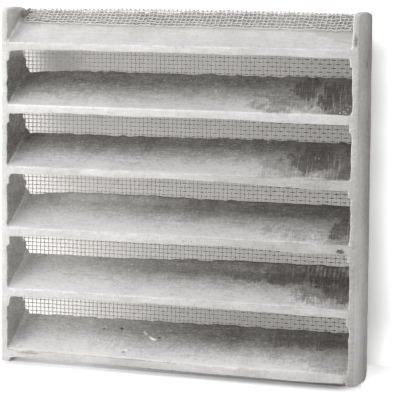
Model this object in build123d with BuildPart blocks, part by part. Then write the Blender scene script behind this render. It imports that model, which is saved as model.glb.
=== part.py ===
from build123d import *
from math import atan, cos, sin, tan
import os

# A cast aluminium louvre grille with a woven wire insect mesh bedded on its back.
# +X is to the viewer's right, -Y is the front, +Z is up.
# The origin is under the middle of the block, on the plane of its feet.

# Driving dimensions of the casting, in millimetres
width = 152.0  # over the two side walls
depth = 17.5  # front faces to back
slat_count = 6
slat_pitch = 25.2  # from one slat to the next
nose_height = 2.75  # the slats' upright front edges
slat_rise = 13.8  # climb of a slat over the full depth
foot_height = 2.2  # clear space under the lowest nose
head_height = 14.7  # from the highest nose to the tops of the side walls
head_step = 0.85  # how far the top slat's flat crest lies below the end of its slope
crown_rise = 1.2  # how far the side walls' tops rise from their ends to their middle

# Side walls: thinnest at the front below the parting line, and above it at the back
wall_front = 2.7
wall_back = 3.8
upper_wall_front = 3.8
upper_wall_back = 2.4
parting_drop = 4.1  # parting line below the nose above it
opening_corner_radius = 1.8  # upper corners of each opening
crease_radius = 1.0  # where a slat runs into a side wall
foot_radius = 4.0  # lower back corners of the side walls
edge_radius = 0.7  # worn front edges of the side walls

# Driving dimensions of the mesh
wire_layer = 0.35  # thickness of each of the two layers of wires
strand_width = 1.0  # one strand stands for a group of wires
mesh_columns = 11  # gaps between the upright strands
mesh_rows_per_opening = 2
fold_run = 7.5  # depth of top slat that the folded margin covers, ahead of the crest
fold_side_gap = 1.0  # from the folded margin to the side walls
rim_width = 1.2  # side wall left standing beside the mesh
rim_clearance = 0.15
tail_length = 1.5  # mesh below the lowest slat

# Values worked out from the dimensions above
front_y = -depth / 2
back_y = depth / 2
half_width = width / 2
slope = slat_rise / depth
lowest_nose = foot_height
highest_nose = lowest_nose + (slat_count - 1) * slat_pitch
height = highest_nose + nose_height + head_height
crown_z = height - crown_rise
mesh_thickness = 2 * wire_layer
seat_y = back_y - mesh_thickness  # the plane that the mesh is bedded on
core_overrun = 2.0  # the spaces run this far past the faces that they open
near_y = front_y - core_overrun
far_y = back_y + core_overrun


def nose_z(index):
    """Height of the lower edge of a slat's nose, counted from the bottom."""
    return lowest_nose + index * slat_pitch


def slat_top(index, y):
    """Height of a slat's upper face at a depth."""
    return nose_z(index) + nose_height + slope * (y - front_y)


def slat_underside(index, y):
    """Height of a slat's lower face at a depth."""
    return nose_z(index) + slope * (y - front_y)


def depth_at(index, z):
    """Depth at which a slat's upper face reaches a height."""
    return front_y + (z - slat_top(index, front_y)) / slope


def wall_at(front_wall, back_wall, y):
    """Thickness of a drafted side wall at a depth."""
    return front_wall + (back_wall - front_wall) * (y - front_y) / depth


def drafted_core(points, front_wall, back_wall, radius, rounded_edges):
    """The space between the side walls that has this outline from the side, with long edges rounded."""
    near_x = half_width - wall_at(front_wall, back_wall, near_y)
    far_x = half_width - wall_at(front_wall, back_wall, far_y)
    lowest = min(z for _, z in points)
    highest = max(z for _, z in points)
    with BuildPart() as core:
        with BuildSketch(Plane.XY.offset(lowest)):
            with BuildLine():
                Polyline((-near_x, near_y), (near_x, near_y), (far_x, far_y), (-far_x, far_y), close=True)
            make_face()
        extrude(amount=highest - lowest)
        with BuildSketch(Plane.YZ):
            with BuildLine():
                Polyline(*points, close=True)
            make_face()
        extrude(amount=width, both=True, mode=Mode.INTERSECT)
        fillet(rounded_edges(core), radius)
    return core.part


def runs_back(edge):
    """Whether an edge runs from front to back, and not across."""
    return abs(edge.tangent_at(0.5).X) < 0.5


def floor_sides(core):
    """The edges where a core's floor meets its sides."""
    return core.faces().filter_by(lambda face: face.normal_at().Z < -0.5).edges().filter_by(runs_back)


def roof_sides(core):
    """The edges where a core's roof meets its sides."""
    return core.faces().filter_by(lambda face: face.normal_at().Z > 0.5).edges().filter_by(runs_back)


def front_core(index, crest, roof):
    """The space over a slat, drawn out to the front: wide at the front, narrow at the back."""
    turn_y = min(depth_at(index, crest), far_y)
    points = [(near_y, slat_top(index, near_y)), (turn_y, slat_top(index, turn_y))]
    if turn_y < far_y:
        points.append((far_y, crest))
    points += [(far_y, roof), (near_y, roof)]
    return drafted_core(points, wall_front, wall_back, crease_radius, floor_sides)


def back_core(index, floor_z):
    """The space under a slat, drawn out to the back: wide at the back, narrow at the front."""
    points = [
        (near_y, floor_z),
        (far_y, floor_z),
        (far_y, slat_underside(index, far_y)),
        (near_y, slat_underside(index, near_y)),
    ]
    return drafted_core(points, upper_wall_front, upper_wall_back, opening_corner_radius, roof_sides)


def parting_z(index):
    """Height at which the spaces over one slat and under the next one meet."""
    return nose_z(index + 1) - parting_drop


top_slat = slat_count - 1
crest_z = slat_top(top_slat, back_y) - head_step
front_cores = [front_core(index, slat_top(index, far_y), parting_z(index)) for index in range(top_slat)]
back_cores = [back_core(index + 1, parting_z(index)) for index in range(top_slat)]
head_core = front_core(top_slat, crest_z, height + core_overrun)
foot_core = back_core(0, -core_overrun)

# The casting: two side walls joined by sloping slats
with BuildPart() as louvre_casting:
    with BuildSketch(Plane.YZ) as side:
        with BuildLine():
            crown = ThreePointArc((front_y, crown_z), (0, height), (back_y, crown_z))
            Polyline(crown @ 1, (back_y, 0), (front_y, 0), crown @ 0)
        make_face()
        back_corners = side.vertices().group_by(Axis.X)[-1].sort_by(Axis.Y)
        fillet(back_corners[0], foot_radius)
    extrude(amount=half_width, both=True)
    front_edges = louvre_casting.edges().filter_by(Axis.Z).group_by(Axis.Y)[0]
    fillet(front_edges, edge_radius)
    add(front_cores, mode=Mode.SUBTRACT)
    add(back_cores, mode=Mode.SUBTRACT)
    add(head_core, mode=Mode.SUBTRACT)
    add(foot_core, mode=Mode.SUBTRACT)
    # A shallow seat for the mesh in the back
    with BuildSketch(Plane.XZ.offset(-seat_y)):
        with Locations((0, height / 2)):
            Rectangle(width - 2 * rim_width, height + 2 * core_overrun)
    extrude(amount=-mesh_thickness - core_overrun, mode=Mode.SUBTRACT)
louvre_casting.part.label = "louvre_casting"

# The mesh lies on the seat, bends over the crest and ends on the top slat's slope
mesh_half_width = half_width - rim_width - rim_clearance
fold_half_width = half_width - max(wall_front, wall_back) - fold_side_gap
mesh_bottom = slat_underside(0, seat_y) - tail_length
fold_back_z = slat_underside(top_slat, seat_y)
crest_y = depth_at(top_slat, crest_z)
fold_y = crest_y - fold_run
slat_angle = atan(slope)


def bent_line(lift, bottom):
    """The mesh's bends seen from the side, lifted off the casting by so much."""
    return [
        (seat_y + lift, bottom),
        (seat_y + lift, crest_z + lift),
        (crest_y - lift * tan(slat_angle / 2), crest_z + lift),
        (fold_y - lift * sin(slat_angle), slat_top(top_slat, fold_y) + lift * cos(slat_angle)),
    ]


def layer_outline(inner_lift, outer_lift, bottom):
    """Closed outline of one layer of the bent mesh."""
    return bent_line(inner_lift, bottom) + bent_line(outer_lift, bottom)[::-1]


def selvedge_outline(inner_lift, outer_lift, bottom):
    """Closed outline of one layer of the mesh's upright edges, which aren't folded."""
    return bent_line(inner_lift, bottom)[:2] + bent_line(outer_lift, bottom)[1::-1]


slat_ends = [slat_underside(index, seat_y) + nose_height / 2 for index in range(top_slat)]
row_height = slat_pitch / mesh_rows_per_opening
cross_strands = [z + row * row_height for z in slat_ends for row in range(mesh_rows_per_opening)]
column_pitch = (2 * mesh_half_width - strand_width) / mesh_columns
upright_strands = [-mesh_half_width + column * column_pitch for column in range(mesh_columns + 1)]

with BuildPart() as insect_mesh:
    # The folded margin, bedded on the top slat
    with BuildSketch(Plane.YZ):
        with BuildLine():
            Polyline(*layer_outline(0, wire_layer, fold_back_z), close=True)
        make_face()
    extrude(amount=fold_half_width, both=True)
    # Strands across the openings, next to the casting
    with BuildSketch(Plane.XZ.offset(-seat_y)):
        with Locations(*[(0, z) for z in cross_strands]):
            Rectangle(2 * mesh_half_width, strand_width)
    extrude(amount=-wire_layer)
    # Upright strands over them, from the tail to the end of the fold
    for x in upright_strands:
        folded = abs(x + strand_width / 2) < fold_half_width
        outline = layer_outline if folded else selvedge_outline
        with BuildSketch(Plane.YZ.offset(x)):
            with BuildLine():
                Polyline(*outline(wire_layer, mesh_thickness, mesh_bottom), close=True)
            make_face()
        extrude(amount=strand_width)
insect_mesh.part.label = "insect_mesh"

os.makedirs("parts", exist_ok=True)
export_step(louvre_casting.part, "parts/louvre_casting.step")
export_step(insect_mesh.part, "parts/insect_mesh.step")
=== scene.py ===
import math
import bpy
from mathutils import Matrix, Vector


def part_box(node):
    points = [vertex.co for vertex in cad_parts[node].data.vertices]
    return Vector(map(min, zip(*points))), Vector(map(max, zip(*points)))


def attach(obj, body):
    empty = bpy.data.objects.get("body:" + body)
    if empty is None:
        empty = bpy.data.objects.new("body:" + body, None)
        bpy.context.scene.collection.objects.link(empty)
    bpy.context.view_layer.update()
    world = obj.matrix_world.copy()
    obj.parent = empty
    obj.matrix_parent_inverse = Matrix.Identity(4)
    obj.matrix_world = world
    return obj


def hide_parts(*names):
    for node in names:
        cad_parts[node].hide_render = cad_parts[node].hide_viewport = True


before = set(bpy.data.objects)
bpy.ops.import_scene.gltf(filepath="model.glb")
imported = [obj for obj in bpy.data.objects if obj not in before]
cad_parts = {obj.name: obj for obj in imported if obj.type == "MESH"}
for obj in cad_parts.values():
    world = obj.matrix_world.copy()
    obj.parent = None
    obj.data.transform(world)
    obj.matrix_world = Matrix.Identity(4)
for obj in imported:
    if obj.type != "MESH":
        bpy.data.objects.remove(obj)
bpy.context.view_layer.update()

from types import SimpleNamespace

import bmesh
import bpy
import numpy as np
from mathutils import Matrix, Vector

# The louvred grille's looks: one aluminium casting and the woven wire mesh bedded on its back.
# Shapes are worked out in millimetres and written to the meshes in metres.
MM = 0.001
SEED = 7

# Sizes of the casting, as the frame has them. Slats are counted from the bottom, from 0.
casting_low, casting_high = (np.array(corner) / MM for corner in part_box("louvre_casting"))
mesh_low, mesh_high = (np.array(corner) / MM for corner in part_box("insect_mesh"))
front_y, back_y = casting_low[1], casting_high[1]
depth = back_y - front_y
half_width = casting_high[0]
height = casting_high[2]
slat_count = 6
slat_pitch = 25.2
nose_height = 2.75
slat_rise = 13.8
foot_height = 2.2
slope = slat_rise / depth
slat_angle = math.atan(slope)
wall_front = 2.7
side_wall = 3.8

# Sizes of the mesh
upright_pitch = 1.83
cross_pitch = 1.6
crest_gap = 0.85  # between the two rows of cross wires over the crest
wire_radius = 0.19
wire_sides = 5
sheet_depth = 0.4  # from what carries the mesh to the middle of the mesh
sheet_y = back_y - sheet_depth
bend_radius = 0.55
fold_half_width = half_width - side_wall - 1.0
fold_end_y = mesh_low[1] + 0.4
tail_z = mesh_low[2] + 0.2

# Camera, fitted to the photograph
camera_heading, camera_elevation, camera_roll = 20.78, 5.90, 0.49
camera_aim = Vector((0, 0, 72.0))
camera_offset = Vector((-7.36, -2.81))
camera_distance = 922.2
focal_pixels, frame_pixels = 2300.6, 400
sensor_width = 36.0


def slat_top(index, y):
    """Height of a slat's upper face at a depth."""
    return foot_height + index * slat_pitch + nose_height + slope * (y - front_y)


# Pits and flakes: slat, x, y, radius, and how far the skin is pushed in there. Flakes stand out.
pits = [
    (0, -35.0, 3.4, 0.8, 0.45),
    (0, -27.2, 3.9, 0.9, 0.5),
    (0, -22.2, -5.8, 0.9, 0.4),
    (0, -9.6, 1.2, 0.8, 0.45),
    (1, 57.0, 0.5, 0.7, 0.35),
    (4, 55.9, -4.8, 0.6, 0.4),
]
flakes = [
    (0, -16.8, 3.0, 0.55, -0.25),
    (0, -16.1, 2.4, 0.65, -0.3),
    (0, -15.4, 1.9, 0.5, -0.25),
    (0, -13.6, 1.1, 0.55, -0.25),
    (0, -12.8, 0.7, 0.7, -0.3),
    (0, -11.9, 0.3, 0.75, -0.3),
    (0, -10.9, 0.0, 0.65, -0.3),
    (3, 57.4, 0.5, 0.4, -0.2),
    (4, 68.3, -7.6, 0.4, -0.2),
    (4, 69.6, -7.0, 0.45, -0.2),
    (4, 70.6, -7.7, 0.4, -0.2),
    (4, 70.9, -5.9, 0.4, -0.2),
    (4, 71.5, -4.6, 0.4, -0.2),
]

# Stained places at the slats' right-hand ends: how dark, slat, x, y, half length and half depth
stains = [
    (0.42, 4, 46.0, 0.0, 18.0, 9.0),
    (0.66, 4, 52.0, 3.0, 7.0, 7.0),
    (0.70, 4, 62.0, 1.0, 7.0, 9.0),
    (0.30, 3, 48.0, -2.0, 15.0, 8.5),
    (0.60, 3, 56.0, 1.0, 13.0, 8.0),
    (0.54, 2, 44.0, 5.5, 30.0, 4.0),
    (0.24, 2, 52.0, -1.0, 18.0, 7.5),
    (0.62, 2, 68.0, -2.0, 5.0, 6.5),
    (0.52, 1, 30.0, 5.0, 18.0, 4.5),
    (0.60, 1, 46.0, 4.0, 16.0, 5.0),
    (0.70, 1, 60.0, 4.0, 14.0, 5.5),
    (0.46, 1, 60.0, -1.0, 14.0, 6.5),
    (0.66, 1, 67.0, -1.0, 7.0, 6.5),
    (0.60, 0, 55.0, 4.0, 26.0, 4.0),
    (0.26, 0, 60.0, -1.0, 17.0, 7.0),
]
ridged_place = (1, 62.0, 7.0, 13.0, 3.0)  # slat, x, y, half length and half depth
stain_half_height = 12.0  # stains reach this far up and down

# Grimy marks on the fronts and the right-hand side, and the painted shade of a dent in a nose: how dark,
# centre and half sizes
grimy_marks_and_dent_shade = [
    (0.24, (74.6, front_y, 134.5), (0.8, 1.0, 3.0)),
    # a dent in a nose, as painted shade
    (0.45, (69.4, front_y, 52.9), (2.0, 1.0, 1.0)),
    (0.20, (-63.5, front_y, 4.2), (6.5, 1.0, 0.6)),
    (0.40, (half_width, 1.6, 125.2), (1.0, 0.7, 1.9)),
]

# The seam across the right-hand end of the top slat: y + slant * x = offset
seam_slant = 0.304
seam_offset = 15.5
seam_half_width = 0.3

brush_turn = math.radians(-14)  # of the brush marks, from straight down the slats


# Smooth noise

def lattice_values(cells, seed):
    """A repeatable value from -1 to 1 for each cell of a lattice."""
    mixed = (cells[..., 0] * 73856093) ^ (cells[..., 1] * 19349663) ^ (cells[..., 2] * 83492791)
    mixed = mixed ^ (seed * 2654435761)
    mixed = (mixed ^ (mixed >> 13)) * 1274126177 & 0xFFFFFFFF
    mixed = (mixed ^ (mixed >> 16)) & 0xFFFF
    return mixed / 32767.5 - 1.0


def smooth_noise(points, size, seed):
    """Noise from -1 to 1 that varies over lengths of about size."""
    scaled = np.asarray(points, float) / size
    cell = np.floor(scaled).astype(np.int64)
    part = scaled - cell
    part = part * part * (3 - 2 * part)
    total = np.zeros(len(scaled))
    for corner in np.ndindex(2, 2, 2):
        weight = np.prod(np.where(corner, part, 1 - part), axis=1)
        total += weight * lattice_values(cell + np.array(corner), seed)
    return total


def line_noise(values, size, seed):
    """Smooth noise along one coordinate."""
    values = np.asarray(values, float)
    points = np.stack([values.ravel(), np.zeros(values.size), np.zeros(values.size)], axis=1)
    return smooth_noise(points, size, seed).reshape(values.shape)


def smooth_step(low, high, values):
    """0 below low, 1 above high, and smooth between."""
    t = np.clip((values - low) / (high - low), 0, 1)
    return t * t * (3 - 2 * t)


# Mesh helpers

def new_object(name, mesh):
    piece = bpy.data.objects.new(name, mesh)
    bpy.context.scene.collection.objects.link(piece)
    return piece


def vertex_array(mesh, what):
    values = np.zeros(len(mesh.vertices) * 3, np.float32)
    mesh.vertices.foreach_get(what, values)
    return values.reshape(-1, 3).astype(float)


def with_modifiers_applied(piece):
    """Replaces a piece's mesh by what its modifiers make of it."""
    graph = bpy.context.evaluated_depsgraph_get()
    made = bpy.data.meshes.new_from_object(piece.evaluated_get(graph))
    old = piece.data
    piece.modifiers.clear()
    piece.data = made
    bpy.data.meshes.remove(old)


def dress(piece, node, material):
    """Puts a finished piece in the place of a solid."""
    piece.data.materials.clear()
    piece.data.materials.append(material)
    piece.data.shade_smooth()
    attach(piece, "root")
    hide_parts(node)


# The casting

weld_distance = 1e-6  # in metres
grain_voxel = 0.45
edge_smoothing, smoothing_share = 2, 0.5
casting_triangles = 190000
skin_margin = 0.01  # the skin stays this far inside the solid's box

# The skin's swells: how far, and over what lengths. The walls' inner faces are rougher.
skin_swells = ((0.10, 14.0), (0.06, 4.0), (0.03, 1.5))
inner_wall_swell, inner_wall_patch = 0.28, 2.6

# The noses: how far their lower edges wander, and over what lengths, and how much lower they hang.
# One value for each slat says how much lower still along its length, and one at its right-hand end.
nose_slack = 1.0  # how far off its slat a point still counts as the slat's own
long_wander, short_wander = (0.28, 17.0), (0.14, 5.0)
noise_offset = 400  # from one slat's place in the noise to the next one's
end_hang, middle_hang = 0.45, -0.1
lowest_hang, lowest_wander = 0.85, 0.3
nose_reach = 2.5  # what a nose's hang fades over, from front to back
whole_hang = np.array([0.0, 0.5, 0.9, 0.2, 0.8, 0.6])
right_hang = np.array([0.7, 0.6, 0.8, 1.8, 1.0, 0.3])

# The lowest nose's sag: how far, where, its half length and what it fades over
sag, sag_x, sag_half_length, sag_reach = 0.8, 25.0, 45.0, 6.0

# How far metal ran up the slats' rear edges: unevenly, and in each slat's left-hand and right-hand half
uneven_run, run_length = 0.35, 2.6
run_offset = 50  # from one slat's place in the noise to the next one's
left_climb = np.array([0.4, 0.4, 1.5, 0.2, 0.9, 0.0])
right_climb = np.array([0.8, 2.1, 1.0, 0.7, 0.8, 0.3])
corner_fill = 1.9  # size of the metal that filled the corners at the left-hand ends of the rear edges


def slat_lift(points):
    """Each point's slat and its height over that slat's underside."""
    rise = slope * (points[:, 1] - front_y)
    over_feet = points[:, 2] - foot_height - rise
    index = np.clip(np.floor((over_feet + nose_slack) / slat_pitch), 0, slat_count - 1)
    return index.astype(int), over_feet - index * slat_pitch


def cast_louvre():
    """A copy of the solid with soft edges and the uneven skin of a sand casting."""
    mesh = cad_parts["louvre_casting"].data.copy()
    work = bmesh.new()
    work.from_mesh(mesh)
    bmesh.ops.remove_doubles(work, verts=work.verts, dist=weld_distance)
    work.to_mesh(mesh)
    work.free()
    piece = new_object("cast_louvre", mesh)
    remesh = piece.modifiers.new("grain", "REMESH")
    remesh.mode = "VOXEL"
    remesh.voxel_size = grain_voxel * MM
    soften = piece.modifiers.new("soften", "SMOOTH")
    soften.factor = smoothing_share
    soften.iterations = edge_smoothing
    with_modifiers_applied(piece)
    points = vertex_array(piece.data, "co") / MM
    normals = vertex_array(piece.data, "normal")
    points = cast_skin(points, normals)
    piece.data.vertices.foreach_set("co", (points * MM).astype(np.float32).ravel())
    piece.data.update()
    thin = piece.modifiers.new("thin", "DECIMATE")
    thin.ratio = casting_triangles / (2 * len(piece.data.polygons))
    with_modifiers_applied(piece)
    return piece


def cast_skin(points, normals):
    """Moves the points of the casting's skin off their true planes."""
    index, lift = slat_lift(points)
    between_walls = smooth_step(0, 1.5, half_width - side_wall - np.abs(points[:, 0]))
    moved = points + normals * skin_swell(points, normals)[:, None]
    moved[:, 2] -= nose_drop(points, index, lift, between_walls)
    moved[:, 2] += rear_climb(points, index, lift) * between_walls
    fill = corner_metal(points, index, lift)
    moved[:, 0] += fill
    moved[:, 2] += fill
    return np.clip(moved, casting_low + skin_margin, casting_high - skin_margin)


def skin_swell(points, normals):
    """How far the skin stands out, with its pits and flakes."""
    x, y, z = points.T
    off_side = half_width - np.abs(x)
    inner_wall = smooth_step(0.4, 1.2, off_side) * smooth_step(0.3, 0.8, np.abs(normals[:, 0]))
    swell = np.zeros_like(x)
    for number, (amount, size) in enumerate(skin_swells):
        swell += amount * smooth_noise(points, size, SEED + number)
    swell += inner_wall * inner_wall_swell * smooth_noise(points, inner_wall_patch, SEED + 6)
    for slat, pit_x, pit_y, radius, push in pits + flakes:
        away = np.sqrt((x - pit_x) ** 2 + (y - pit_y) ** 2 + (z - slat_top(slat, pit_y)) ** 2)
        swell -= push * smooth_step(1.2 * radius, 0.3 * radius, away)
    return swell


def nose_drop(points, index, lift, between_walls):
    """How far the noses' lower edges wander and hang down. The lowest nose is the thickest, and sags."""
    x, y, _ = points.T
    in_slat = np.abs(lift) < nose_height + nose_slack
    behind_front = y - front_y
    along = x + noise_offset * index
    wander = sum(amount * line_noise(along, size, SEED + 3 + number)
                 for number, (amount, size) in enumerate((long_wander, short_wander)))
    hang = end_hang * smooth_step(40, 72, np.abs(x)) + middle_hang + wander
    hang = np.where(index == 0, lowest_hang + lowest_wander * wander, hang)
    hang += whole_hang[index] + right_hang[index] * smooth_step(15, 68, x)
    drop = hang * np.clip(1 - lift / nose_height, 0, 1) * np.exp(-behind_front / nose_reach)
    sagging = sag * np.exp(-((x - sag_x) / sag_half_length) ** 2) * np.exp(-behind_front / sag_reach)
    drop += sagging * (index == 0)
    return drop * in_slat * between_walls


def rear_climb(points, index, lift):
    """How far metal ran up into the mesh along the slats' rear edges."""
    x, y, _ = points.T
    noise_place = np.stack([x, run_offset * index, np.zeros_like(x)], axis=1)
    run = uneven_run * smooth_noise(noise_place, run_length, SEED + 5)
    to_right = smooth_step(-35, 35, x)
    off_corner = smooth_step(-68, -50, x)
    run += left_climb[index] * off_corner * (1 - to_right) + right_climb[index] * to_right
    upper_face = smooth_step(1.2, 2.4, lift) * (lift < nose_height + nose_slack)
    return run * smooth_step(4.5, 8.0, y) * upper_face


def corner_metal(points, index, lift):
    """How far metal filled the corners at the left-hand ends of the rear edges, sideways and upwards."""
    x, y, _ = points.T
    wall = wall_front + (side_wall - wall_front) * (y - front_y) / depth
    off_wall = np.maximum(x + half_width - wall, 0)
    off_slat = np.maximum(lift - nose_height, 0)
    upper_skin = (lift > nose_height - 0.8) & (x > -half_width + 1.5) & (index < slat_count - 1)
    return np.maximum(corner_fill - off_wall - off_slat, 0) / 2 * smooth_step(1.5, 7.0, y) * upper_skin


# The mesh

crest_bow, bow_half_width = 0.75, 70.0  # how far the mesh bows up over the crest, and along what
crest_wander, wander_length = 0.1, 9.0
frayed_end = 0.7  # how unevenly the upright wires end
unfolded_end = 0.4  # where they end beside the fold, past the bend's start

# The crumpled fold: how far wires are pushed aside, along and out, and over what lengths.
# They are pushed further at its two ends, by so many times as much again.
push_aside, aside_patch = 0.36, 2.6
push_along, along_patch = 0.34, 2.3
push_out, out_patch = 0.26, 3.0
sheet_wobble, wobble_patch = 0.06, 9.0
left_crumple, right_crumple = 1.2, 0.6
left_margin, right_margin = 0.12, 0.05  # the fold's margin is narrower on the left and wider on the right


def sheet_point(x, s):
    """Places and normals on the bent middle of the mesh.

    s runs up the back to the bend, where it is 0, over the crest and down the slope.
    """
    centre_y = sheet_y - bend_radius
    crest_z = slat_top(slat_count - 1, centre_y) + (sheet_depth - bend_radius) / math.cos(slat_angle)
    turn = math.pi / 2 + slat_angle
    angle = np.clip(s / bend_radius, 0, turn)
    after = np.maximum(s - bend_radius * turn, 0)
    before = np.minimum(s, 0)
    y = centre_y + bend_radius * np.cos(angle) - after * math.cos(slat_angle)
    z = crest_z + bend_radius * np.sin(angle) + before - after * math.sin(slat_angle)
    normal = np.stack([np.zeros_like(s), np.cos(angle), np.sin(angle)], axis=-1)
    bow = crest_bow * np.clip(1 - (x / bow_half_width) ** 2, 0, 1)
    bow = bow + crest_wander * line_noise(x, wander_length, SEED + 10)
    z = z + bow * smooth_step(-8, 0, s) * (1 - smooth_step(1, 7, s))
    return np.stack([x, y, z], axis=-1), normal


def row_of(s):
    """Which row of cross wires a place along the mesh is in. Two rows are close together over the crest."""
    over_crest = np.clip(s, 0, crest_gap)
    return (s - over_crest) / cross_pitch + over_crest / crest_gap


def row_place(row):
    """The place along the mesh of a row of cross wires."""
    over_crest = np.clip(row, 0, 1)
    return (row - over_crest) * cross_pitch + over_crest * crest_gap


bend_length = bend_radius * (math.pi / 2 + slat_angle)
fold_length = bend_length + (sheet_y - bend_radius - fold_end_y) / math.cos(slat_angle)
bend_z = sheet_point(np.zeros(1), np.zeros(1))[0][0, 2]
tail_s = tail_z - bend_z


def crumple(x, s):
    """How far the wires of the folded margin are pushed aside, along and out."""
    ends = 1 + left_crumple * smooth_step(-56, -68, x) + right_crumple * smooth_step(45, 65, x)
    fold = smooth_step(0.2, 2.0, s) * ends
    points = np.stack([x, s, np.zeros_like(x)], axis=-1).reshape(-1, 3)
    aside, along, wobble, out = (
        smooth_noise(points, patch, SEED + 11 + number).reshape(x.shape)
        for number, patch in enumerate((aside_patch, along_patch, wobble_patch, out_patch)))
    wobble = sheet_wobble * wobble
    margin = np.maximum(s - bend_length, 0) * np.where(x < 0, left_margin, right_margin) * x / half_width
    aside = wobble + push_aside * fold * aside
    along = wobble + push_along * fold * along + margin
    out = push_out * fold * np.abs(out)
    return aside, along, out


def woven_points(x, s, over):
    """Points of a wire that lies over or under the wires it crosses."""
    aside, along, out = crumple(x, s)
    place, normal = sheet_point(x + aside, s + along)
    place = place + normal * (over * wire_radius + out)[..., None]
    place[..., 2] = np.minimum(place[..., 2], height - wire_radius - 0.02)
    return place


def tube_mesh(name, paths, crowns, sideways):
    """One mesh of round wires along the paths, with how far each point of a wire stands out to the front."""
    turns = np.arange(wire_sides) * 2 * math.pi / wire_sides
    cosines = np.cos(turns)[None, :, None]
    sines = np.sin(turns)[None, :, None]
    vertices, faces, start = [], [], 0
    for path in paths:
        tangent = np.gradient(path, axis=0)
        tangent /= np.linalg.norm(tangent, axis=1, keepdims=True)
        first = sideways - tangent * (tangent @ sideways)[:, None]
        first /= np.linalg.norm(first, axis=1, keepdims=True)
        second = np.cross(tangent, first)
        ring = cosines * first[:, None] + sines * second[:, None]
        vertices.append((path[:, None] + wire_radius * ring).reshape(-1, 3))
        count = len(path)
        for k in range(count - 1):
            low = start + k * wire_sides
            for side in range(wire_sides):
                after = (side + 1) % wire_sides
                faces.append((low + side, low + after, low + wire_sides + after, low + wire_sides + side))
        last = start + (count - 1) * wire_sides
        faces.append(tuple(range(start + wire_sides - 1, start - 1, -1)))
        faces.append(tuple(range(last, last + wire_sides)))
        start += count * wire_sides
    mesh = bpy.data.meshes.new(name)
    mesh.from_pydata((np.concatenate(vertices) * MM).tolist(), [], faces)
    crown = mesh.attributes.new("crown", "FLOAT", "POINT")
    crown.data.foreach_set("value", np.repeat(np.concatenate(crowns), wire_sides).astype(np.float32))
    mesh.update()
    return mesh


def upright_places():
    """Places of the upright wires across the mesh."""
    most = math.floor((mesh_high[0] - wire_radius) / upright_pitch)
    return np.arange(-most, most + 1) * upright_pitch


def towards_front(s, over):
    """How far a wire stands out to the front: the sheet's other side shows where it is folded."""
    return over * (2 * smooth_step(0, bend_length, s) - 1)


def upright_wires():
    """The wires that run up the back and over the crest."""
    paths, crowns = [], []
    for number, x in enumerate(upright_places()):
        end = unfolded_end
        if abs(x) < fold_half_width:
            end = fold_length - frayed_end + frayed_end * line_noise([x * 3], 4, SEED + 15)[0]
        s = row_place(np.arange(row_of(tail_s), row_of(end), 0.5))
        over = np.cos(math.pi * (row_of(s) + number))
        paths.append(woven_points(np.full_like(s, x), s, over))
        crowns.append(towards_front(s, over))
    mesh = tube_mesh("mesh_upright_wires", paths, crowns, np.array([1.0, 0, 0]))
    return new_object("mesh_upright_wires", mesh)


def cross_wires():
    """The wires that run from side to side."""
    uprights = upright_places()
    rows = np.arange(math.ceil(row_of(tail_s)), math.floor(row_of(fold_length)) + 1)
    steps = np.arange(uprights[0] - upright_pitch / 2, uprights[-1] + upright_pitch, upright_pitch / 2)
    paths, crowns = [], []
    for row in rows:
        reach = fold_half_width if row > 0 else mesh_high[0]
        x = steps[np.abs(steps) < reach - wire_radius]
        s = np.full_like(x, row_place(row))
        over = -np.cos(math.pi * ((x - uprights[0]) / upright_pitch + row))
        paths.append(woven_points(x, s, over))
        crowns.append(towards_front(s, over))
    mesh = tube_mesh("mesh_cross_wires", paths, crowns, np.array([0, 0, 1.0]))
    return new_object("mesh_cross_wires", mesh)


def wandering_path(start, end, sway, size, seed):
    """A path that wanders about the line between two points."""
    along = np.linspace(0, 1, 48)
    length = np.linalg.norm(np.subtract(end, start))
    line = np.outer(1 - along, start) + np.outer(along, end)
    wander = np.stack([line_noise(along * length, size, seed + axis) for axis in range(3)], axis=1)
    return line + wander * np.array(sway)


def loose_wires():
    """A tangle of torn wires in the left-hand corner of the fold, and a wire that has sprung out of it."""
    tangle_start, tangle_end = (-70.2, 7.4, 144.6), (-71.3, 3.2, 142.0)
    tangle_sway, tangle_size, tangle_count = (1.3, 0.8, 1.1), 1.0, 6
    sprung_start, sprung_end = (-71.0, 3.6, 141.8), (-59.5, 1.0, 139.5)
    sprung_sway, sprung_size = (0, 0.3, 0.35), 1.3
    paths = [wandering_path(tangle_start, tangle_end, tangle_sway, tangle_size, SEED + 20 + 3 * number)
             for number in range(tangle_count)]
    paths.append(wandering_path(sprung_start, sprung_end, sprung_sway, sprung_size, SEED + 50))
    crowns = [np.zeros(len(path)) for path in paths]
    mesh = tube_mesh("mesh_loose_wires", paths, crowns, np.array([0.6, 0, 0.8]))
    return new_object("mesh_loose_wires", mesh)


# Material helpers

def new_material(name):
    material = bpy.data.materials.new(name)
    material.use_nodes = True
    return material, material.node_tree


def shader_node(tree, kind, inputs=None, **settings):
    """A new node, with its settings made and its inputs linked or set."""
    node = tree.nodes.new("ShaderNode" + kind)
    for name, value in settings.items():
        setattr(node, name, value)
    for key, value in (inputs or {}).items():
        if isinstance(value, bpy.types.NodeSocket):
            tree.links.new(value, node.inputs[key])
        else:
            node.inputs[key].default_value = value
    return node


def maths(tree, operation, first, second=0.0):
    return shader_node(tree, "Math", {0: first, 1: second}, operation=operation).outputs[0]


def in_turn(tree, operation, values):
    """One operation on several values, from the first to the last."""
    result = values[0]
    for value in values[1:]:
        result = maths(tree, operation, result, value)
    return result


def times(tree, *values):
    return in_turn(tree, "MULTIPLY", values)


def plus(tree, *values):
    return in_turn(tree, "ADD", values)


def minus(tree, *values):
    return in_turn(tree, "SUBTRACT", values)


def most_of(tree, *values):
    """The largest of several values."""
    return in_turn(tree, "MAXIMUM", values)


def inverse(tree, value):
    """One less the value."""
    return minus(tree, 1.0, value)


def about(tree, pattern, amount):
    """A noise pattern made to vary about 0 by so much."""
    return times(tree, minus(tree, pattern, 0.5), amount)


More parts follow.
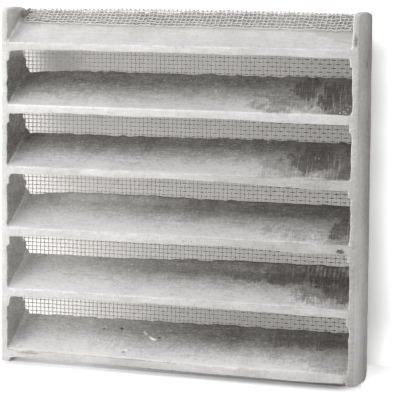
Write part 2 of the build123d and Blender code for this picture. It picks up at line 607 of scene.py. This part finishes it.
def blend(tree, value, low, high, start=0.0, end=1.0):
    """Goes smoothly from start to end as a value goes from low to high."""
    inputs = {"Value": value, "From Min": low, "From Max": high, "To Min": start, "To Max": end}
    return shader_node(tree, "MapRange", inputs, interpolation_type="SMOOTHSTEP").outputs["Result"]


def mix(tree, share, start, end):
    """Goes from start to end as a share goes from 0 to 1."""
    return blend(tree, share, 0.0, 1.0, start, end)


def vector_maths(tree, operation, first, second):
    return shader_node(tree, "VectorMath", {0: first, 1: second}, operation=operation).outputs[0]


def parts_of(tree, vector):
    return shader_node(tree, "SeparateXYZ", {0: vector}).outputs


def place_in_mm(tree):
    """Where a point of the piece is, in millimetres."""
    where = shader_node(tree, "TexCoord").outputs["Object"]
    return vector_maths(tree, "MULTIPLY", where, (1 / MM, 1 / MM, 1 / MM))


def noise(tree, place, size, detail=3.0, roughness=0.55):
    """Noise from 0 to 1. Its largest spots are about size across, in millimetres, one size for each axis."""
    scaled = vector_maths(tree, "DIVIDE", place, size if isinstance(size, tuple) else (size, size, size))
    inputs = {"Vector": scaled, "Scale": 1.0, "Detail": detail, "Roughness": roughness}
    return shader_node(tree, "TexNoise", inputs).outputs["Fac"]


def distance(tree, place, centre, halves):
    """How far a place is from a centre, as a share of the half sizes."""
    away = vector_maths(tree, "SUBTRACT", place, centre)
    scaled = vector_maths(tree, "DIVIDE", away, halves)
    return shader_node(tree, "VectorMath", {0: scaled}, operation="LENGTH").outputs["Value"]


def on_slat(tree, place, slat, x, y, half_x, half_y, half_z):
    """How far a place is from one on a slat's upper face, as a share of the half sizes."""
    return distance(tree, place, (x, y, slat_top(slat, y)), (half_x, half_y, half_z))


def tone_colour(tree, tone, stops):
    """The colour of a tone. Stops are tones and their colours, from the darkest to the palest."""
    ramp = shader_node(tree, "ValToRGB", {"Fac": tone})
    elements = ramp.color_ramp.elements
    for element, (position, colour) in zip(elements, (stops[0], stops[-1])):
        element.position = position
        element.color = colour
    for position, colour in stops[1:-1]:
        elements.new(position).color = colour
    return ramp.outputs["Color"]


def set_shader(tree, **inputs):
    """Links or sets inputs of a material's own shader."""
    shader = tree.nodes["Principled BSDF"]
    for name, value in inputs.items():
        socket = shader.inputs[name.replace("_", " ").title()]
        if isinstance(value, bpy.types.NodeSocket):
            tree.links.new(value, socket)
        else:
            socket.default_value = value


# The cast aluminium. Amounts say how much darker or paler a thing makes the metal, on a scale from 0 to 1.

cast_colours = (
    (0.08, (0.047, 0.041, 0.034, 1)),
    (0.45, (0.277, 0.258, 0.242, 1)),
    (1.0, (0.85, 0.845, 0.835, 1)),
)
cast_metallic = 0.7
# The sheltered parts, mostly the slats, are paler than the fronts: painted light against the shade of the
# slat above.
front_tone, slat_tone = 0.8, 1.0
top_slat_low, top_slat_high = 124.0, 128.0  # the top slat begins between these heights
back_grime_and_shade = 0.51
lower_left_light_share = 0.78  # of the grime and shade, taken off low down on the left as painted light
upper_left_reach, low_reach = 1.7, 1.8  # how much further forward the grime and painted shade come at the upper left and low down
# painted shade on the walls' inner faces, low and high up
low_inner_wall_shade, high_inner_wall_shade = 0.26, 0.46
low_end_stain, high_end_stain = 0.32, 0.6
# painted shade under the fold, the seam's shade, and a painted shade over the whole top slat
under_fold_shade, seam_shade, top_slat_shade = 0.15, 0.06, 0.21
# painted shade on the outer sides
low_side_shade, high_side_shade, back_side_shade, side_streaks = 0.06, 0.15, 0.33, 0.16
# painted shade on the fronts: the right wall, low and high up, and the noses on the right and left
low_wall_shade, high_wall_shade, nose_right_shade, nose_left_shade = 0.16, 0.06, 0.13, 0.07
ridge_highlight, speck_shade, scratch_paleness = 0.16, 0.12, 0.2
# worn lips and rims with painted highlights, and that painted highlight dimmed on the lower lips
wear_and_highlight_paleness, rim_highlight = 0.12, 0.18
lower_lip_shade, lowest_lip_shade = 0.13, 0.26
pit_shade, flake_paleness_and_glint = 0.5, 0.5
smooth_stains = 0.7  # how much of the skin's pattern a stain covers


def casting_zones(tree, axes):
    """Which part of the casting a point belongs to, each from 0 to 1."""
    facing = parts_of(tree, shader_node(tree, "NewGeometry").outputs["Normal"])
    x_facing = maths(tree, "ABSOLUTE", facing["X"])
    inner = blend(tree, maths(tree, "ABSOLUTE", axes["X"]), half_width - 0.4, half_width - 1.2)
    in_front = blend(tree, axes["Y"], front_y + 1.6, front_y + 0.6)
    front = times(tree, blend(tree, facing["Y"], -0.75, -0.95), in_front)
    sheltered = times(tree, inner, inverse(tree, front))
    below_top = blend(tree, axes["Z"], top_slat_high, top_slat_low)
    lip = times(tree, blend(tree, facing["Z"], 0.1, 0.3), blend(tree, facing["Z"], 0.75, 0.6), in_front)
    inward = blend(tree, times(tree, facing["X"], axes["X"]), 5.0, -5.0)
    rim = times(tree, blend(tree, x_facing, 0.2, 0.45), blend(tree, x_facing, 0.97, 0.8), inward, in_front)
    return SimpleNamespace(
        front=front,
        sheltered=sheltered,
        below_top=below_top,
        on_top=times(tree, inverse(tree, below_top), sheltered),
        outer_side=times(tree, blend(tree, x_facing, 0.6, 0.95), inverse(tree, inner)),
        inner_wall=times(tree, blend(tree, x_facing, 0.5, 0.85), sheltered),
        faces_up=blend(tree, facing["Z"], 0.45, 0.6),
        lip=lip,
        rim=rim,
    )


def casting_patterns(tree, place):
    """The noise patterns of the casting's skin."""
    turn = {"Vector": place, "Angle": brush_turn}
    turned = shader_node(tree, "VectorRotate", turn, rotation_type="Z_AXIS")
    return SimpleNamespace(
        speckle=noise(tree, place, 0.8, detail=2.0, roughness=0.6),
        grain=noise(tree, place, 2.0, detail=4.0, roughness=0.7),
        blotch=noise(tree, place, 16.0, detail=4.0),
        drag=noise(tree, place, (8.0, 0.8, 0.8), detail=4.0),
        streak=noise(tree, turned.outputs[0], (0.55, 9.0, 9.0)),
        upright_streak=noise(tree, place, (3.0, 1.1, 30.0)),
        ragged=noise(tree, place, 5.0, detail=5.0, roughness=0.6),
    )


def casting_grime_and_shade(tree, axes, zone, pattern):
    """Grime and painted shade on the slats, and painted shade on the walls' inner faces.

    On the slats the grime and painted shade deepen towards the back. They come further forward at the upper
    left and on the lowest slat, and are mostly taken off low down on the left, as painted light.
    """
    lower_left = times(tree, blend(tree, axes["X"], 28.0, -65.0), blend(tree, axes["Z"], 100.0, 60.0))
    left = blend(tree, axes["X"], 20.0, -40.0, 0.0, upper_left_reach)
    upper_left = times(tree, blend(tree, axes["Z"], 75.0, 105.0), left)
    low_down = blend(tree, axes["Z"], 30.0, 12.0, 0.0, low_reach)
    reach = plus(tree, axes["Y"], about(tree, pattern.ragged, 6.0), plus(tree, upper_left, low_down))
    grime_and_shade = times(tree, blend(tree, reach, -6.2, 6.0, 0.0, back_grime_and_shade), zone.sheltered)
    grime_and_shade = times(tree, grime_and_shade, inverse(tree, times(tree, lower_left, lower_left_light_share)))
    by_height = blend(tree, axes["Z"], 20.0, 110.0, low_inner_wall_shade, high_inner_wall_shade)
    inner_wall_shade = times(tree, zone.inner_wall, by_height)
    return times(tree, most_of(tree, grime_and_shade, inner_wall_shade), zone.below_top)


def casting_stain(tree, place, axes, zone, pattern):
    """Dark stains with brushed edges, and pale brush marks in them, at the slats' right-hand ends."""
    edge = plus(tree, about(tree, pattern.ragged, 1.9), about(tree, pattern.streak, 0.5))
    stained = []
    for dark, *spot in stains:
        away = plus(tree, on_slat(tree, place, *spot, stain_half_height), edge)
        stained.append(blend(tree, away, 1.25, 0.6, 0.0, dark))
    end_x = plus(tree, axes["X"], about(tree, pattern.ragged, 18.0))
    end_stain = blend(tree, axes["Z"], 10.0, 110.0, low_end_stain, high_end_stain)
    stained.append(blend(tree, end_x, 52.0, 70.0, 0.0, end_stain))
    brushed = inverse(tree, blend(tree, pattern.streak, 0.54, 0.68, 0.0, 0.4))
    return times(tree, most_of(tree, *stained), brushed, zone.sheltered, zone.below_top)


def casting_smudges_and_dent_shade(tree, place, pattern):
    """Grimy marks with speckled edges on the fronts and the right-hand side, and a dent's painted shade on a
    nose.
    """
    marked = []
    for dark, centre, halves in grimy_marks_and_dent_shade:
        away = plus(tree, distance(tree, place, centre, halves), about(tree, pattern.speckle, 1.6))
        marked.append(blend(tree, away, 1.1, 0.5, 0.0, dark))
    return most_of(tree, *marked)


def top_slat_shade_and_seam(tree, axes, zone):
    """The top slat has a painted shade under the fold, and a faint seam where the metal met as it set."""
    past_edge = blend(tree, axes["Y"], fold_end_y + 0.6, fold_end_y + 1.6, 0.0, under_fold_shade)
    under_fold = times(tree, zone.on_top, past_edge, zone.faces_up)
    seam_y = plus(tree, axes["Y"], times(tree, axes["X"], seam_slant))
    seam_start, seam_end = seam_offset - seam_half_width, seam_offset + seam_half_width
    past_seam = blend(tree, seam_y, seam_start, seam_end, 0.0, seam_shade)
    seam = times(tree, past_seam, blend(tree, axes["X"], 46.0, 58.0), zone.on_top)
    return plus(tree, under_fold, seam)


def casting_side_shade(tree, axes, pattern):
    """Painted shade on the outer sides: darker towards the back, less so low down, and streaked."""
    front_shade = blend(tree, axes["Z"], 30.0, 120.0, low_side_shade, high_side_shade)
    shade = blend(tree, axes["Y"], front_y + 1.0, back_y, front_shade, back_side_shade)
    shade = plus(tree, shade, about(tree, pattern.upright_streak, side_streaks))
    return minus(tree, shade, blend(tree, axes["Z"], 70.0, 20.0, 0.0, 0.05))


def casting_front_shade(tree, axes):
    """Painted shade on the fronts: on the right wall, on the middle noses towards the right, and on the
    highest one on the left.
    """
    wall_shade = blend(tree, axes["Z"], 60.0, 130.0, low_wall_shade, high_wall_shade)
    right_wall = blend(tree, axes["X"], half_width - 6, half_width - 2, 0.0, wall_shade)
    middle_rows = times(tree, blend(tree, axes["Z"], 20.0, 45.0), blend(tree, axes["Z"], 100.0, 85.0))
    shaded_right_noses = times(tree, middle_rows, blend(tree, axes["X"], -30.0, 55.0, 0.0, nose_right_shade))
    highest_row = blend(tree, axes["Z"], 115.0, 125.0)
    shaded_left_nose = times(tree, highest_row, blend(tree, axes["X"], 0.0, -60.0, 0.0, nose_left_shade))
    return most_of(tree, right_wall, shaded_right_noses, shaded_left_nose)


def casting_ridges(tree, place, axes, zone):
    """Mesh wires show as ridges through the metal at the right-hand end of one rear edge, drawn as painted
    highlights at the wires' spacing.
    """
    wave = maths(tree, "SINE", times(tree, axes["X"], 2 * math.pi / upright_pitch))
    away = on_slat(tree, place, *ridged_place, stain_half_height)
    ridged = blend(tree, away, 1.1, 0.7, 0.0, ridge_highlight)
    return times(tree, blend(tree, wave, -0.2, 0.8), ridged, zone.sheltered)


def casting_wear_and_highlight(tree, axes, zone, pattern):
    """Lips and rims are worn pale, and carry a painted highlight; the inward rims carry a further painted
    highlight.

    The painted highlight on the lips is dimmed on the lower slats, and the lowest one's hardly shows on the
    left.
    """
    worn_and_highlit = blend(tree, pattern.ragged, 0.35, 0.62, 0.0, wear_and_highlight_paleness)
    worn_and_highlit = times(tree, most_of(tree, zone.lip, zone.rim), worn_and_highlit)
    worn_and_highlit = plus(tree, worn_and_highlit, times(tree, zone.rim, rim_highlight))
    left = blend(tree, axes["X"], 60.0, -30.0, 0.0, lowest_lip_shade)
    lowest = times(tree, blend(tree, axes["Z"], 10.0, 7.0), left)
    lower = blend(tree, axes["Z"], 105.0, 85.0, 0.0, lower_lip_shade)
    return minus(tree, worn_and_highlit, times(tree, zone.lip, most_of(tree, lowest, lower)))


def casting_spots(tree, place, spots, outer, inner):
    """Where pits or flakes are, from 0 to 1."""
    found = [blend(tree, on_slat(tree, place, slat, x, y, radius, radius, radius), outer, inner)
             for slat, x, y, radius, _ in spots]
    return most_of(tree, *found)


def cast_aluminium():
    """Dull sand-cast aluminium: pale and grainy in front, grimy and painted in shade towards the back,
    stained on the right.
    """
    material, tree = new_material("cast_aluminium")
    place = place_in_mm(tree)
    axes = parts_of(tree, place)
    zone = casting_zones(tree, axes)
    pattern = casting_patterns(tree, place)

    # grime with painted shade on the slats, painted shade on the inner walls
    grime_and_shade = casting_grime_and_shade(tree, axes, zone, pattern)
    stain = casting_stain(tree, place, axes, zone, pattern)
    dirt_and_shade = most_of(tree, grime_and_shade, stain, casting_smudges_and_dent_shade(tree, place, pattern))
    dirt_and_shade = plus(tree, dirt_and_shade, top_slat_shade_and_seam(tree, axes, zone))
    tone = minus(tree, mix(tree, zone.sheltered, front_tone, slat_tone), dirt_and_shade)
    # the top slat, open to more light, is painted darker: a painted shade
    tone = minus(tree, tone, times(tree, zone.on_top, top_slat_shade))
    tone = minus(tree, tone, times(tree, zone.outer_side, casting_side_shade(tree, axes, pattern)))
    tone = minus(tree, tone, times(tree, zone.front, casting_front_shade(tree, axes)))
    # painted highlights on ridges where the mesh shows through
    tone = plus(tree, tone, casting_ridges(tree, place, axes, zone))

    # The skin's patterns, each with its amount on the fronts and on the slats
    unstained = inverse(tree, times(tree, stain, smooth_stains))
    rough_skin = times(tree, zone.sheltered, zone.below_top, unstained)
    skin_patterns = (
        (pattern.speckle, 0.14, 0.36),
        (pattern.grain, 0.16, 0.34),
        (pattern.blotch, 0.3, 0.24),
        (pattern.drag, 0.18, 0.35),
    )
    for skin_pattern, on_fronts, on_slats in skin_patterns:
        tone = plus(tree, tone, about(tree, skin_pattern, mix(tree, rough_skin, on_fronts, on_slats)))

    # Dark and pale specks and scratches, worn edges with painted highlights, dark pits and bare flakes with
    # a painted glint
    dark_speck = blend(tree, noise(tree, place, 1.3, detail=2.0), 0.66, 0.73)
    elsewhere = vector_maths(tree, "ADD", place, (50, 0, 0))
    pale_speck = blend(tree, noise(tree, elsewhere, 1.2, detail=2.0), 0.61, 0.68)
    scratch = blend(tree, noise(tree, elsewhere, (4.0, 0.5, 0.5), detail=2.0), 0.65, 0.72)
    pale_marks = times(tree, most_of(tree, pale_speck, scratch), rough_skin)
    tone = minus(tree, tone, times(tree, dark_speck, speck_shade))
    tone = plus(tree, tone, times(tree, pale_marks, scratch_paleness))
    tone = plus(tree, tone, casting_wear_and_highlight(tree, axes, zone, pattern))
    tone = minus(tree, tone, times(tree, casting_spots(tree, place, pits, 1.0, 0.5), pit_shade))
    # bare flakes, pale partly from a painted glint
    tone = plus(tree, tone, times(tree, casting_spots(tree, place, flakes, 1.1, 0.7), flake_paleness_and_glint))

    grainy = plus(tree, times(tree, pattern.speckle, 0.5), pattern.grain)
    bump = shader_node(tree, "Bump", {"Height": grainy, "Strength": 0.5, "Distance": 0.3 * MM})
    set_shader(
        tree,
        base_color=tone_colour(tree, tone, cast_colours),
        metallic=cast_metallic,
        roughness=plus(tree, 0.42, times(tree, pattern.blotch, 0.22)),
        normal=bump.outputs["Normal"],
    )
    return material


# The wire

wire_colours = (
    (0.1, (0.05, 0.048, 0.044, 1)),
    (1.0, (0.9, 0.885, 0.865, 1)),
)
wire_metallic = 0.15
fold_low, fold_high = 131.0, 135.0  # the fold begins between these heights
fold_shade = 0.03
patina_amount = 0.6
left_crown_shade_share = 0.45  # of the painted crown shade, on the left


def mesh_wire(name, paleness, crown_shade, right_crown_shade):
    """Zinc wire. Below the fold it carries a painted shade where it stands out to the front, less of it on
    the left, where the light is stronger.
    """
    material, tree = new_material(name)
    place = place_in_mm(tree)
    axes = parts_of(tree, place)
    patina = noise(tree, place, 3.0, detail=4.0, roughness=0.65)
    below_fold = blend(tree, axes["Z"], fold_high, fold_low)
    stands_out = shader_node(tree, "Attribute", attribute_name="crown").outputs["Fac"]
    to_right = blend(tree, axes["X"], 0.0, 60.0, crown_shade, right_crown_shade)
    to_left = blend(tree, axes["X"], 0.0, -60.0, 1.0, left_crown_shade_share)
    grime_and_shade = times(tree, blend(tree, stands_out, -0.2, 0.3, 0.0, to_right), to_left)
    tone = plus(tree, paleness, about(tree, patina, patina_amount))
    tone = minus(tree, tone, mix(tree, below_fold, fold_shade, grime_and_shade))
    set_shader(
        tree,
        base_color=tone_colour(tree, tone, wire_colours),
        metallic=wire_metallic,
        roughness=plus(tree, 0.4, times(tree, patina, 0.3)),
    )
    return material


# The floor and the backdrop: white paper. As the camera sees it, it carries painted shade behind and beside
# the grille and a painted contact shadow along the lowest nose.

paper_white = 0.85
mirrored_white = 1.2  # as metal shows the paper
open_white = 2.3  # around the grille
shaded_white = 1.67  # behind it, a painted shade
high_share, right_share, left_end_share, top_left_share = 0.74, 0.81, 0.8, 0.78  # of that
edge_white, edge_reach = 1.4, 15.0  # a painted shadow beside its right wall
foot_lift = 0.42  # painted light: how much brighter the backdrop's foot is there
floor_foot_white = 2.22  # a faint painted shade on the floor at the backdrop's foot
gap_lift = 0.25  # painted light: how much brighter the gap under the lowest nose is on the left
contact_shade, left_contact = 0.72, 0.44  # a painted contact shadow along the lowest nose, and how much of that on the left
warm_tint = (1.0, 0.972, 0.945, 1)  # painted warm light from the metal, behind the grille
off_floor = (0.01, 0.05)  # the backdrop begins between these heights
backdrop_top_gap = 3.0
lean = math.tan(math.radians(12))  # the backdrop is nearer to the grille at the top
backdrop_foot = back_y + backdrop_top_gap + height * lean
backdrop_reach = 260.0
floor_reach = 900.0

# Where the grille's silhouette ends, as the camera sees it: x + sight_slant * y
sight_slant = math.tan(math.radians(camera_heading))
right_edge = half_width + sight_slant * back_y
left_edge = -half_width + sight_slant * front_y


def plane(name, corners):
    mesh = bpy.data.meshes.new(name)
    mesh.from_pydata([tuple(value * MM for value in corner) for corner in corners], [], [(0, 1, 2, 3)])
    mesh.update()
    return new_object(name, mesh)


def white_behind(tree, place, axes):
    """How bright the paper is behind the grille, as a painted shade: less so high up, at both sides and at
    the upper left.
    """
    by_height = blend(tree, axes["Z"], 30.0, 110.0, shaded_white, high_share * shaded_white)
    to_right = blend(tree, axes["X"], 0.0, half_width, 1.0, right_share)
    to_left = blend(tree, axes["X"], -35.0, -70.0, 1.0, left_end_share)
    from_corner = distance(tree, place, (-60.0, back_y, 122.0), (13.0, 60.0, 11.0))
    corner = blend(tree, from_corner, 0.3, 1.0, top_left_share, 1.0)
    return times(tree, by_height, times(tree, to_right, to_left), corner)


def white_beside(tree, axes, slanted_x):
    """How bright the paper is beside the right wall: a painted shadow next to it, fainter at the backdrop's
    foot.
    """
    floor_white = blend(tree, axes["Y"], backdrop_foot, back_y - 4, floor_foot_white, open_white)
    floor_white = blend(tree, axes["Y"], backdrop_foot + 1, backdrop_foot + 6, floor_white, open_white)
    next_to_wall = blend(tree, axes["Z"], *off_floor, floor_white, edge_white)
    beside = blend(tree, slanted_x, right_edge, right_edge + edge_reach, next_to_wall, open_white)
    lift = times(tree, blend(tree, axes["Z"], *off_floor), blend(tree, axes["Z"], 24.0, 0.0, 0.0, foot_lift))
    return times(tree, beside, plus(tree, 1.0, lift))


def floor_contact(tree, axes):
    """Share of the floor's brightness at the lowest nose: a painted contact shadow along it, and painted
    light in the gap on the left.
    """
    in_gap = times(tree, blend(tree, axes["Y"], front_y - 3, front_y + 3), blend(tree, axes["Z"], 2.0, 0.5))
    lift = times(tree, in_gap, blend(tree, axes["X"], -10.0, -65.0, 0.0, gap_lift))
    along = blend(tree, axes["X"], -half_width, half_width - 30, left_contact, 1.0)
    along = times(tree, along, blend(tree, axes["X"], half_width + 5, half_width - 8))
    near = blend(tree, axes["Y"], front_y - 13, front_y - 1)
    near = times(tree, near, blend(tree, axes["Y"], front_y + 6, front_y))
    return times(tree, plus(tree, 1.0, lift), inverse(tree, times(tree, near, along, contact_shade)))


def white_surface(name, one_sided):
    """White paper that looks clean white to the camera, but for its painted shade near the grille. Seen from
    behind, a one-sided one is clear.
    """
    material, tree = new_material(name)
    tree.nodes.remove(tree.nodes["Principled BSDF"])
    path = shader_node(tree, "LightPath").outputs
    place = place_in_mm(tree)
    axes = parts_of(tree, place)
    slanted_x = plus(tree, axes["X"], times(tree, axes["Y"], sight_slant))
    past_right = blend(tree, slanted_x, right_edge - 5, right_edge - 1)
    past_left = blend(tree, slanted_x, left_edge + 3, left_edge)
    around = most_of(tree, blend(tree, axes["Z"], 126.0, 140.0), past_left)
    seen = mix(tree, past_right, white_behind(tree, place, axes), white_beside(tree, axes, slanted_x))
    seen = mix(tree, around, seen, open_white)
    seen = times(tree, seen, floor_contact(tree, axes))
    mirrored = most_of(tree, path["Is Glossy Ray"], path["Is Transmission Ray"])
    white = mix(tree, path["Is Camera Ray"], mix(tree, mirrored, paper_white, mirrored_white), seen)
    behind = times(tree, path["Is Camera Ray"], inverse(tree, most_of(tree, around, past_right)))
    behind = times(tree, behind, blend(tree, axes["Z"], 1.0, 4.0))
    tint = shader_node(tree, "Mix", {0: behind, 6: (1, 1, 1, 1), 7: warm_tint}, data_type="RGBA").outputs[2]
    colour = vector_maths(tree, "MULTIPLY", tint, white)
    surface = shader_node(tree, "BsdfDiffuse", {"Color": colour}).outputs[0]
    if one_sided:
        from_behind = shader_node(tree, "NewGeometry").outputs["Backfacing"]
        clear = shader_node(tree, "BsdfTransparent").outputs[0]
        surface = shader_node(tree, "MixShader", {0: from_behind, 1: surface, 2: clear}).outputs[0]
    tree.links.new(surface, tree.nodes["Material Output"].inputs["Surface"])
    return material


def add_stage():
    floor = plane("floor", [
        (-floor_reach, -floor_reach, 0), (floor_reach, -floor_reach, 0),
        (floor_reach, floor_reach, 0), (-floor_reach, floor_reach, 0)])
    floor.data.materials.append(white_surface("floor_white", False))
    head_y = backdrop_foot - backdrop_reach * lean
    backdrop = plane("backdrop", [
        (-backdrop_reach, backdrop_foot, 0), (backdrop_reach, backdrop_foot, 0),
        (backdrop_reach, head_y, backdrop_reach), (-backdrop_reach, head_y, backdrop_reach)])
    backdrop.data.materials.append(white_surface("backdrop_white", True))
    backdrop.visible_shadow = False


# Light and camera

bright_side = Vector((-0.55, -0.6, 0.58)).normalized()
room_dim, room_bright = 0.2, 0.95
lamp_size, lamp_energy = 0.3, 0.5
lamp_place, lamp_aim = Vector((-0.28, -0.20, 0.22)), Vector((0, 0, 0.07))


def add_light():
    """A room that is brighter to the left, in front and overhead, and a soft lamp near the left."""
    world = bpy.data.worlds.new("studio")
    bpy.context.scene.world = world
    world.use_nodes = True
    tree = world.node_tree
    where = shader_node(tree, "TexCoord").outputs["Generated"]
    towards = shader_node(tree, "VectorMath", {0: where, 1: bright_side}, operation="DOT_PRODUCT")
    strength = blend(tree, towards.outputs["Value"], -1.0, 1.0, room_dim, room_bright)
    background = tree.nodes["Background"]
    background.inputs["Color"].default_value = (1, 1, 1, 1)
    tree.links.new(strength, background.inputs["Strength"])
    lamp = bpy.data.lights.new("key", "AREA")
    lamp.shape = "DISK"
    lamp.size = lamp_size
    lamp.energy = lamp_energy
    key = bpy.data.objects.new("key", lamp)
    key.location = lamp_place
    key.rotation_euler = (lamp_aim - lamp_place).to_track_quat("-Z", "Y").to_euler()
    bpy.context.scene.collection.objects.link(key)


def add_camera():
    heading, elevation, roll = (math.radians(a) for a in (camera_heading, camera_elevation, camera_roll))
    ahead = Vector((-math.sin(heading), math.cos(heading), 0))
    forward = ahead * math.cos(elevation) - Vector((0, 0, math.sin(elevation)))
    level = Vector((math.cos(heading), math.sin(heading), 0))
    upright = level.cross(forward)
    right = level * math.cos(roll) + upright * math.sin(roll)
    up = upright * math.cos(roll) - level * math.sin(roll)
    place = camera_aim - right * camera_offset[0] + up * camera_offset[1] - forward * camera_distance
    camera = bpy.data.objects.new("camera", bpy.data.cameras.new("camera"))
    camera.data.sensor_width = sensor_width
    camera.data.lens = focal_pixels * sensor_width / frame_pixels
    turned = Matrix((right, up, -forward)).transposed().to_4x4()
    camera.matrix_world = Matrix.Translation(place * MM) @ turned
    bpy.context.scene.collection.objects.link(camera)
    bpy.context.scene.camera = camera


dress(cast_louvre(), "louvre_casting", cast_aluminium())
dress(upright_wires(), "insect_mesh", mesh_wire("mesh_wire_upright", 0.89, 0.28, 0.12))
dress(cross_wires(), "insect_mesh", mesh_wire("mesh_wire_cross", 0.94, 0.5, 0.7))
dress(loose_wires(), "insect_mesh", mesh_wire("mesh_wire_loose", 0.42, 0.0, 0.0))
add_stage()
add_light()
add_camera()
bpy.context.scene.view_settings.view_transform = "Standard"
